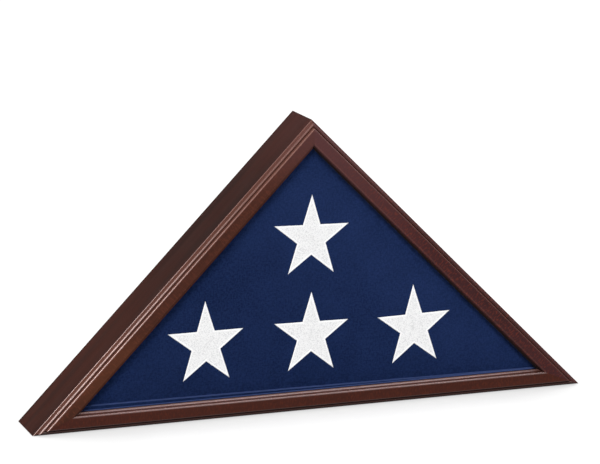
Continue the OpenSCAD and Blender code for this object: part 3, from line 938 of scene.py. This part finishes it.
@dataclass
class FoldedFlag:
    """The flag folded into a tight triangular bundle, with a rolled hem along the foot of its front."""

    triangle: CaseTriangle
    edge_inset: float = 16.95
    corner: float = 12.0
    corner_points: int = 12
    front_depth: float = 14.4
    back_depth: float = 57.9
    round_over: float = 3.6
    round_steps: int = 7
    crown: float = 0.5
    crown_rise: Span = (22.0, 75.0)
    ripple: float = 0.16
    ripple_rise: Span = (26.0, 60.0)
    ripple_waves: Span = (37.0, 29.0)
    ripple_bend: float = 0.6
    layers: int = 7
    layer_sink: float = 1.3
    hem_foot: float = 21.3
    hem_rise: float = 3.7
    hem_slant: float = 0.0085
    hem_ledge: Span = (24.7, 25.3)
    hem_crease: Span = (22.0, 22.5)
    hem_sink: float = 0.26
    crest_low: tuple[Span, Span] = ((21.8, 22.2), (22.6, 23.1))
    crest_high: tuple[Span, Span] = ((24.2, 24.7), (25.2, 25.7))
    flap_from: Span = (-250.0, 36.0)
    flap_slope: float = 0.42
    flap_edge: float = 2.5
    flap_thick: float = 1.5
    tuck_from: Span = (240.0, 22.0)
    tuck_slope: float = -0.35
    tuck_edge: float = 2.0
    tuck_thick: float = 1.1
    sag: float = 0.5
    sag_waves: Span = (31.0, 24.0)
    back_clear: float = 0.5
    swell_rise: Span = (22.5, 40.0)
    swell_most: float = 0.9
    swell_voxel: float = 6.0
    swell_reach: float = 14.0
    swell_skin: float = 3.0
    swell_pressure: float = 4.0
    swell_frames: int = 20
    swell_batch: int = 2000
    swell_points: np.ndarray = field(default_factory=lambda: np.zeros((0, 3)))
    swell_moves: np.ndarray = field(default_factory=lambda: np.zeros((0, 3)))

    def outline(self, steps: int) -> np.ndarray:
        """The bundle's outline at its edge, in X and Z from the incentre.

        Args:
            steps: points to a side.

        Returns:
            Three straight sides joined by quadratic curves through the triangle's corners.
        """
        lines, tips = [], []
        for side in Side:
            start, run, inward, length = self.triangle.side(side)
            first, last = self.triangle.mitres(side)
            near = self.edge_inset * first
            far = length - self.edge_inset * last
            line = np.linspace(near + self.corner, far - self.corner, steps)[:, None]
            lines.append(start + line * run + self.edge_inset * inward)
            tips.append(start + far * run + self.edge_inset * inward)
        t = np.linspace(0, 1, self.corner_points)[1:-1, None]
        outline = []
        for here, after, tip in zip(lines, lines[1:] + lines[:1], tips):
            outline += [here, (1 - t) ** 2 * here[-1] + 2 * t * (1 - t) * tip + t**2 * after[0]]
        return np.concatenate(outline) - np.array([0.0, self.triangle.inradius])

    def hem(self, x: np.ndarray, inset: np.ndarray) -> np.ndarray:
        """How far the rolled hem stands forward of the field near the foot, as a sum of smooth steps.

        Args:
            x: place along the base, in millimetres.
            inset: inset from the base, in millimetres.

        Returns:
            Nothing behind the glazing strip, a roll that fills the gap to the glass, a ledge at its
            crease and the second ledge where the hem ends, whose line slants a little across the case.
        """
        ledge = 1 - smooth_step(inset + self.hem_slant * x, *self.hem_ledge)
        roll = smooth_step(inset, self.hem_foot, self.hem_foot + 0.5) * ledge
        return self.hem_rise * roll * (1 - self.hem_sink * smooth_step(inset, *self.hem_crease))

    def fold_wear_and_sheen(self, x: np.ndarray, inset: np.ndarray) -> np.ndarray:
        """How much paler the hem's two folds are, partly worn and partly painted sheen where they catch the
        light: a bump of smooth steps on each.
        """
        return band(inset, *self.crest_low) + 0.8 * band(inset + self.hem_slant * x, *self.crest_high)

    def front(self, x: np.ndarray, z: np.ndarray) -> np.ndarray:
        """Depth of the front: the front plane, less a crown that grows inwards, the hem and the swell.

        Args:
            x, z: arrays of one shape, in millimetres.

        Returns:
            The depth at each point, in millimetres.
        """
        insets = self.triangle.insets(x, z)
        nearest = np.minimum.reduce(list(insets.values()))
        crown = self.crown * smooth_step(nearest, *self.crown_rise)
        wave = np.sin(x / self.ripple_waves[0] + self.ripple_bend * np.sin(z / self.ripple_waves[1]))
        ripple = self.ripple * wave * smooth_step(nearest, *self.ripple_rise)
        swell = self.swell(x, z) * smooth_step(nearest, *self.swell_rise)
        legs = np.minimum(insets[Side.RIGHT], insets[Side.LEFT])
        clear = smooth_step(legs, self.hem_foot, self.hem_foot + 1.5)
        return self.front_depth - crown - ripple - self.hem(x, insets[Side.BASE]) * clear - swell

    def swell(self, x: np.ndarray, z: np.ndarray) -> np.ndarray:
        """How far the settled stuffing pushes the front forward, averaged over nearby points.

        Args:
            x, z: arrays of one shape, in millimetres.

        Returns:
            The mean forward move of the simulated points, weighted by exp(-(distance / reach)^2).
        """
        if not len(self.swell_points):
            return np.zeros(np.shape(x))
        flat = np.stack([np.ravel(x), np.ravel(z)], -1)
        front = self.swell_points[:, 1] < self.triangle.front + self.front_depth + self.swell_skin
        near, moves = self.swell_points[front][:, [0, 2]], -self.swell_moves[front][:, 1]
        found = []
        for part in np.array_split(flat, max(1, len(flat) // self.swell_batch)):
            gap = ((part[:, None, :] - near[None]) ** 2).sum(-1)
            weight = np.exp(-gap / self.swell_reach**2) + 1e-9
            found.append((weight * moves).sum(1) / weight.sum(1))
        return np.clip(np.concatenate(found), 0.0, self.swell_most).reshape(np.shape(x))

    def bundle(self, steps: int, front_insets: np.ndarray, wall_steps: int, drawn: float = 0.0) -> Shell:
        """The bundle as rings parallel to its sides, from a pole in front over the wall to one behind.

        Args:
            steps: points to a side.
            front_insets: insets of the front's rings, from the middle out.
            wall_steps: rings on the wall.
            drawn: how far the whole shape is drawn in.

        Returns:
            Rings scaled from the incentre, which keeps each one at one inset from all three sides. The
            wall's rings sink between folded layers as the square of a sine, and the back carries the
            step of the last fold.
        """
        middle = self.triangle.inradius
        outline = self.outline(steps)
        bend = np.radians(np.linspace(0, 90, self.round_steps))[1:]
        radius = self.round_over
        over_inset = self.edge_inset + radius * (1 - np.sin(bend))
        over_depth = self.front_depth + radius * (1 - np.cos(bend))
        wall = np.linspace(0, 1, wall_steps + 2)[1:-1]
        wall_depth = self.front_depth + radius + wall * (self.back_depth - self.front_depth - 2 * radius)
        wall_inset = self.edge_inset + self.layer_sink * (1 - np.sin(np.pi * self.layers * wall) ** 2)
        insets = [front_insets, over_inset, wall_inset, over_inset[::-1], front_insets[::-1]]
        scale = (middle - (np.concatenate(insets) + drawn)) / (middle - self.edge_inset)
        x = scale[:, None] * outline[:, 0]
        z = scale[:, None] * outline[:, 1] + middle
        lead = len(front_insets)
        front = self.front(x[:lead], z[:lead])
        foot = (front[-1] - self.front_depth) * np.linspace(1, 0, len(bend))[:, None]
        flat = np.ones(len(outline))
        under_depth = self.front_depth + self.back_depth - over_depth[::-1]
        side_depth = np.concatenate([wall_depth, under_depth])[:, None] * flat
        back = self.back(x[-lead:], z[-lead:])
        depth = np.concatenate([front, over_depth[:, None] + foot, side_depth, back])
        centre = np.zeros(1), np.full(1, middle)
        tips = [[0.0, self.triangle.front + face(*centre)[0], middle] for face in (self.front, self.back)]
        points, faces = capped(np.stack([x, self.triangle.front + depth, z], -1), *tips)
        fold_wear_and_sheen = self.fold_wear_and_sheen(x, self.triangle.insets(x, z)[Side.BASE])
        fold_wear_and_sheen[lead + len(bend) :] = 0.0
        crests = np.concatenate([fold_wear_and_sheen.ravel(), np.zeros(len(tips))])
        return Shell(points * MM, faces, {"fold_wear_and_sheen": crests}, sharp_angle=60.0)

    def back(self, x: np.ndarray, z: np.ndarray) -> np.ndarray:
        """Depth of the back: the last fold lies across it as a flap, one cloth thickness proud of the rest.

        Args:
            x, z: arrays of one shape, in millimetres.

        Returns:
            The back plane, less two smooth steps whose lines run from the lower corners to the middle.
        """
        lean = (z - self.flap_from[1]) - self.flap_slope * (x - self.flap_from[0])
        tuck = (z - self.tuck_from[1]) - self.tuck_slope * (x - self.tuck_from[0])
        flap = self.flap_thick * smooth_step(lean, -self.flap_edge, self.flap_edge)
        below = smooth_step(-lean, -self.flap_edge, self.flap_edge)
        step = flap + self.tuck_thick * smooth_step(tuck, -self.tuck_edge, self.tuck_edge) * below
        sag = self.sag * np.sin(x / self.sag_waves[0]) * np.sin(z / self.sag_waves[1])
        return self.back_depth - step - self.back_clear - sag

    def simulate(self) -> None:
        """Lets a coarse copy of the bundle swell as stuffed cloth, and keeps how its points move."""
        rows = np.linspace(self.triangle.inradius - 4, self.edge_inset + self.round_over, 16)
        plain = bpy.data.materials.new("swell")
        coarse = make_piece("swell", self.bundle(steps=40, front_insets=rows, wall_steps=7, drawn=1.0), plain)
        remesh = coarse.modifiers.new("remesh", "REMESH")
        remesh.mode = "VOXEL"
        remesh.voxel_size = self.swell_voxel * MM
        even = bpy.data.meshes.new_from_object(coarse.evaluated_get(bpy.context.evaluated_depsgraph_get()))
        coarse.modifiers.clear()
        coarse.data = even
        rest = np.empty(len(even.vertices) * 3)
        even.vertices.foreach_get("co", rest)
        cloth = coarse.modifiers.new("cloth", "CLOTH")
        cloth.settings.quality = 5
        cloth.settings.mass = 0.3
        cloth.settings.use_pressure = True
        cloth.settings.uniform_pressure_force = self.swell_pressure
        cloth.settings.effector_weights.gravity = 0.0
        cloth.point_cache.frame_start, cloth.point_cache.frame_end = 1, self.swell_frames
        scene = bpy.context.scene
        for frame in range(1, self.swell_frames + 1):
            scene.frame_set(frame)
        settled = coarse.evaluated_get(bpy.context.evaluated_depsgraph_get()).data
        moved = np.empty_like(rest)
        settled.vertices.foreach_get("co", moved)
        scene.frame_set(1)
        bpy.data.objects.remove(coarse)
        bpy.data.materials.remove(plain)
        self.swell_points = rest.reshape(-1, 3) / MM
        self.swell_moves = (moved - rest).reshape(-1, 3) / MM
        log.info("the bundle swells by up to %.2f mm", float(np.abs(self.swell_moves).max()))

    def build(self) -> None:
        self.simulate()
        field_rows = np.linspace(self.triangle.inradius - 3, 40, 34)
        hem_rows = np.arange(28.0, 21.15, -0.2)
        last_row = [self.edge_inset + self.round_over]
        rows = np.concatenate([field_rows, np.linspace(37, 29, 5), hem_rows, last_row])
        shell = self.bundle(steps=150, front_insets=rows, wall_steps=42)
        piece = make_piece("folded_flag.bundle", shell, FlagCotton().material())
        settle(piece, CASE_BODY, "flag_cloth", "folded_flag")


# Distances inside a star's edge and heights above the cloth, over its satin border and on to its fill.
SATIN_INSIDE = (0.0, 0.0, 0.12, 0.3, 0.55, 0.85, 1.15, 1.45, 1.75, 2.0, 2.25, 2.6)
SATIN_RISE = (-0.3, 0.05, 0.3, 0.52, 0.68, 0.76, 0.78, 0.74, 0.64, 0.52, 0.44, 0.46)
FILL_INSIDE = (3.4, 4.6, 6.2, 8.2, 10.4, 12.6, 14.2)
FILL_RISE = 0.5


@dataclass
class FlagStar:
    """One embroidered star: a raised satin border round a mottled fill, following the cloth under it."""

    name: str
    x: float
    z: float
    flag: FoldedFlag
    turn: float
    seed: int
    radius: float = 49.3
    squeeze: float = 0.93
    steps: int = 56
    satin_width: float = 2.2
    wander: float = 0.11
    wander_reach: float = 0.8
    stitch: float = 0.02
    under: float = 0.3

    def outline(self) -> np.ndarray:
        """The star's edge from its middle: ten corners by turns on two circles, squeezed, then turned."""
        angle = np.radians(90 + 36 * np.arange(11))
        inner = self.radius * math.sin(math.radians(18)) / math.sin(math.radians(54))
        reach = np.where(np.arange(11) % 2 == 0, self.radius, inner)
        corners = np.stack([self.squeeze * reach * np.cos(angle), reach * np.sin(angle)], -1)
        spin = math.radians(self.turn)
        corners = corners @ np.array([[math.cos(spin), math.sin(spin)], [-math.sin(spin), math.cos(spin)]])
        t = (np.arange(self.steps) / self.steps)[None, :, None]
        return (corners[:-1, None] * (1 - t) + corners[1:, None] * t).reshape(-1, 2)

    def shell(self) -> Shell:
        """The star as rings scaled towards its middle, which keeps every ring parallel to all ten edges.

        Returns:
            A closed shell. A ring at distance d inside the edge is scaled by 1 - d / apothem. Its height
            is the satin's round ridge, then the fill, and the outline wanders by a stitch's irregularity.
        """
        outline = self.outline()
        apothem = self.radius * math.sin(math.radians(18))
        inside = np.array(SATIN_INSIDE + FILL_INSIDE)
        rise = np.array(SATIN_RISE + (FILL_RISE,) * len(FILL_INSIDE))
        satin = np.where(inside < self.satin_width, 1.0, 0.0)
        random = np.random.default_rng(self.seed)
        wander = random.normal(0.0, self.wander, len(outline))
        fading = np.exp(-inside[:, None] / self.wander_reach)
        edge = 1 + fading * wander / np.linalg.norm(outline, axis=1)
        scale = (1 - inside / apothem)[:, None] * edge
        x = scale * outline[:, 0] + self.x
        z = scale * outline[:, 1] + self.z
        stitched = random.normal(0.0, self.stitch, x.shape) * (inside > self.satin_width + 0.2)[:, None]
        front = self.flag.triangle.front
        top = front + (self.flag.front(x, z) - rise[:, None] - stitched)
        bottom = front + (self.flag.front(x[:1], z[:1]) + self.under)
        middle = self.flag.front(np.array([self.x]), np.array([self.z]))[0] + front
        tips = [[self.x, middle + step, self.z] for step in (self.under, -FILL_RISE)]
        grid = [np.stack([x[:1], bottom, z[:1]], -1), np.stack([x, top, z], -1)]
        points, faces = capped(np.concatenate(grid), *tips)
        border = np.concatenate([[1.0], satin])[:, None] * np.ones(len(outline))
        layer = np.concatenate([border.ravel(), np.zeros(len(tips))])
        return Shell(points * MM, faces, {"satin": layer}, sharp_angle=60.0)

    def build(self, material: bpy.types.Material) -> None:
        """Makes the star and puts it in the place of its node."""
        piece = make_piece(f"{self.name}.stitched", self.shell(), material)
        settle(piece, CASE_BODY, "star_thread", self.name)


# ------------------------------------------------------------------------------------ small hardware


@dataclass
class WallPads:
    """Two moulded rubber pads on the rear rim, which keep the case level and off the wall."""

    triangle: CaseTriangle
    spacing: float = 283.0
    height: float = 5.0
    radius: float = 4.5
    thick: float = 4.6
    around: int = 48

    def shell(self) -> Shell:
        """Both pads as surfaces of revolution: a straight side, a round shoulder and a low domed end."""
        shoulder = arc((self.radius - 1.0, self.thick - 1.1), (1.0, 1.0), 0, 80, 7)
        dome = [[2.4, self.thick - 0.05], [1.2, self.thick - 0.01]]
        profile = np.concatenate([[[self.radius - 0.25, 0.0], [self.radius, 0.35]], shoulder, dome])
        turn = np.linspace(0, 2 * np.pi, self.around, endpoint=False)
        rear = self.triangle.front + self.triangle.depth
        y = rear + profile[:, 1:] + 0 * turn
        z = self.height + profile[:, :1] * np.sin(turn)
        points, faces = np.empty((0, 3)), []
        for middle in (-self.spacing, self.spacing):
            x = middle + profile[:, :1] * np.cos(turn)
            tips = [[middle, rear + thick, self.height] for thick in (0.0, self.thick)]
            pad, around = capped(np.stack([x, y, z], -1), *tips, len(points))
            points = np.concatenate([points, pad])
            faces += around
        return Shell(points * MM, faces)

    def build(self) -> None:
        """Makes the pads as one piece in the place of their node."""
        piece = make_piece("wall_bumpers.moulded", self.shell(), Rubber().material())
        settle(piece, CASE_BODY, "bumper_rubber", "wall_bumpers")


@dataclass
class DressedNodes:
    """The nodes whose shape is kept: glazing, stops, back boards, hinges and fixings."""

    nodes: dict[str, bpy.types.Object]

    def finishes(self) -> dict[str, bpy.types.Material]:
        """Each node's material, by node name.

        Returns:
            One finish may serve several nodes. The glazing strips' grain runs along their own side.
        """
        steel = Metal("steel", (168, 170, 173), (140, 141, 143), 0.34)
        brass = Metal("hinge_brass", (196, 158, 82), (170, 128, 60), 0.3)
        screw = Metal("screw_brass", (204, 170, 98), (176, 138, 72), 0.26, (1800, 1800, 1800))
        nickel = Metal("magnet_nickel", (190, 188, 182), (170, 167, 160), 0.18, (1600, 1600, 1600))
        board = BoardFinish("door_board", (58, 42, 35), (43, 32, 28))
        beech = BoardFinish("plain_wood", (188, 148, 104), (166, 124, 84), 0.6)
        shared = {
            "glass_pane": ClearPane(),
            "catch_magnets": nickel,
            "corner_v_nails stop_brads gusset_brads strike_discs sawtooth_hanger": steel,
            "apex_gusset back_door": board,
            "left_catch_block right_catch_block": beech,
            "left_hinge_frame_leaf right_hinge_frame_leaf left_hinge_pin right_hinge_pin": brass,
            "left_hinge_door_leaf right_hinge_door_leaf": brass,
            "frame_hinge_screws door_hinge_screws hanger_nails": screw,
        }
        stop = ((62, 37, 30), (47, 30, 26), (88, 44, 34))
        strips = {"base": (Grain.ACROSS, 2.0), "left": (Grain.LEFT_LEG, 5.0), "right": (Grain.RIGHT_LEG, 8.0)}
        for name, (grain, shift) in strips.items():
            shared[f"{name}_glass_stop"] = StainedWood(f"stop_wood.{name}", *stop, grain, 0.4, shift)
        made = {finish: finish.material() for finish in dict.fromkeys(shared.values())}
        return {name: made[finish] for names, finish in shared.items() for name in names.split()}

    def build(self) -> None:
        """Puts the materials on the nodes."""
        for name, material in self.finishes().items():
            data = self.nodes[name].data
            data.materials.clear()
            data.materials.append(material)
            log.info("%s keeps its shape and takes %s", name, material.name)


# ---------------------------------------------------------------------------------------------- stage


@dataclass(frozen=True)
class Gleam:
    """A soft strip that shows only as a reflection: where it is aimed, from where, its size and radiance.

    The first of its two sizes runs along the rail that it is aimed at, and the second across it.
    """

    name: str
    aim: Triple
    back: Triple
    along: Triple
    distance: float
    size: Span
    radiance: float
    tint: Tone


GLEAMS = (
    Gleam(
        "left_strip", (-0.295, -0.03, 0.03), (-0.606, -0.368, 0.705), (0.7017, 0.0, 0.7125),
        distance=0.9, size=(0.24, 1.4), radiance=54.0, tint=(1.0, 0.9, 0.88),
    ),
    Gleam(
        "top_strip", (0.0, -0.03, 0.02), (0.317, -0.203, 0.926), (1.0, 0.0, 0.0),
        distance=1.2, size=(1.4, 1.4), radiance=11.0, tint=(0.92, 0.95, 1.0),
    ),
)


@dataclass
class Studio:
    """A white floor, soft light from all round, a high soft lamp and the gleams."""

    floor_radius: float = 14.0
    floor_sides: int = 96
    floor_drop: float = 0.0003
    floor_tone: float = 0.35
    floor_glow: float = 0.43
    floor_lift: float = 0.345
    contact_reach: float = 0.08
    contact_least: float = 0.6
    contact_depth: float = 0.26
    room: float = 0.55
    key_strength: float = 1.85
    key_from: Triple = (-0.33, -0.715, 0.615)
    key_angle: float = 24.0

    def world(self) -> None:
        """White where it is seen, and a plain soft light elsewhere."""
        world = bpy.data.worlds.new("studio")
        bpy.context.scene.world = world
        world.use_nodes = True
        wiring = Wiring(world.node_tree)
        wiring.tree.nodes.clear()
        white = {"Color": (1.0, 1.0, 1.0, 1.0)}
        soft = wiring.node("Background", {**white, "Strength": self.room}).outputs["Background"]
        seen = wiring.node("Background", {**white, "Strength": 1.0}).outputs["Background"]
        mix = wiring.node("MixShader", {0: wiring.white_rays(), 1: soft, 2: seen})
        wiring.node("OutputWorld", {"Surface": mix.outputs["Shader"]})

    def floor(self) -> None:
        """A matt white disc that keeps the case's soft shadow, lifted to white where it is seen."""
        turn = np.linspace(0, 2 * np.pi, self.floor_sides, endpoint=False)
        rim = [self.floor_radius * np.cos(turn), self.floor_radius * np.sin(turn), 0 * turn - self.floor_drop]
        mesh = bpy.data.meshes.new("floor")
        mesh.from_pydata(np.stack(rim, -1).tolist(), [], [list(range(self.floor_sides))])
        recipe = Recipe("floor_white")
        matt = recipe.node("BsdfDiffuse", {"Color": (self.floor_tone,) * 3 + (1.0,)})
        contact = recipe.node("AmbientOcclusion", {"Distance": self.contact_reach}, samples=16)
        shade = recipe.ranged(contact.outputs["AO"], self.contact_least, 1.0, 1 - self.contact_depth, 1.0)
        lift = recipe.math("MULTIPLY", recipe.white_rays(), self.floor_lift)
        seen = recipe.math("MULTIPLY", recipe.math("ADD", lift, self.floor_glow), shade)
        glow = recipe.node("Emission", {"Strength": seen})
        recipe.swap("AddShader", matt.outputs["BSDF"], glow.outputs["Emission"])
        mesh.materials.append(recipe.material)
        put("floor", mesh)

    def lamp(self, data: bpy.types.Light, place: Vector, back: Vector, along: Vector) -> bpy.types.Object:
        """Adds a lamp whose back points along back and whose first side lies along the third vector."""
        lamp = put(data.name, data)
        back = back.normalized()
        along = (along - back * along.dot(back)).normalized()
        stand(lamp, place, along, back.cross(along), back)
        return lamp

    def mute_bounces(self, strip: bpy.types.Light) -> None:
        """Keeps a strip out of light that has bounced off cloth or floor, where it would only sparkle."""
        strip.use_nodes = True
        wiring = Wiring(strip.node_tree)
        depth = wiring.node("LightPath").outputs["Diffuse Depth"]
        emission = strip.node_tree.nodes["Emission"]
        wiring.feed(emission.inputs["Strength"], wiring.math("LESS_THAN", depth, 0.5))

    def lamps(self) -> None:
        """The high soft lamp, and two reflected strips that only draw gleams along the mouldings."""
        key = bpy.data.lights.new("high_lamp", "SUN")
        key.energy = self.key_strength
        key.angle = math.radians(self.key_angle)
        self.lamp(key, Vector(self.key_from) * 3, Vector(self.key_from), Vector((1, 0, 0)))
        for gleam in GLEAMS:
            strip = bpy.data.lights.new(gleam.name, "AREA")
            strip.shape = "RECTANGLE"
            strip.size, strip.size_y = gleam.size
            strip.color = gleam.tint
            strip.energy = gleam.radiance * gleam.size[0] * gleam.size[1] * math.pi
            place = Vector(gleam.aim) + Vector(gleam.back).normalized() * gleam.distance
            lamp = self.lamp(strip, place, Vector(gleam.back), Vector(gleam.along))
            lamp.visible_camera = False
            lamp.visible_diffuse = False
            self.mute_bounces(strip)

    def build(self) -> None:
        """Makes the world, the floor and the lamps."""
        self.world()
        self.floor()
        self.lamps()


@dataclass
class CaseCamera:
    """A long lens in front of the case, to its left and a little above."""

    place: Triple = (-1.0616, -3.0914, 0.8744)
    sight: Triple = (0.3169, 0.9265, -0.203)
    roll: float = -0.435
    focal_pixels: float = 2985.1
    sensor: float = 36.0
    clip: Span = (0.05, 60.0)

    def build(self) -> None:
        """Makes the camera: X is the sight crossed with up, both turned about the sight by the roll."""
        data = bpy.data.cameras.new("camera")
        data.sensor_width = self.sensor
        data.lens = self.focal_pixels / PICTURE_WIDTH * self.sensor
        data.clip_start, data.clip_end = self.clip
        sight = Vector(self.sight).normalized()
        right = sight.cross(Vector((0, 0, 1))).normalized()
        up = right.cross(sight)
        r = math.radians(self.roll)
        across = math.cos(r) * right + math.sin(r) * up
        upward = -math.sin(r) * right + math.cos(r) * up
        camera = put("camera", data)
        stand(camera, Vector(self.place), across, upward, -sight)
        bpy.context.scene.camera = camera


def main() -> None:
    """Loads the frame and builds the camera, the case, the flag, the hardware and the studio in order."""
    logging.basicConfig(level=logging.INFO, format="%(name)s: %(message)s")
    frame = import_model()
    bpy.context.scene.view_settings.view_transform = "Standard"
    triangle = CaseTriangle()
    CaseCamera().build()
    MitredFrame(triangle).build()
    flag = FoldedFlag(triangle)
    flag.build()
    thread = StarThread().material()
    places = {
        "star_top": (0.0, 195.0, -1.4),
        "star_left": (-124.2, 84.0, 0.0),
        "star_centre": (-1.2, 84.7, -0.9),
        "star_right": (121.8, 83.3, 0.9),
    }
    for seed, (name, (x, z, turn)) in enumerate(places.items(), start=3):
        FlagStar(name, x, z, flag, turn, seed).build(thread)
    WallPads(triangle).build()
    DressedNodes(frame["nodes"]).build()
    Studio().build()


if __name__ == "__main__":
    main()
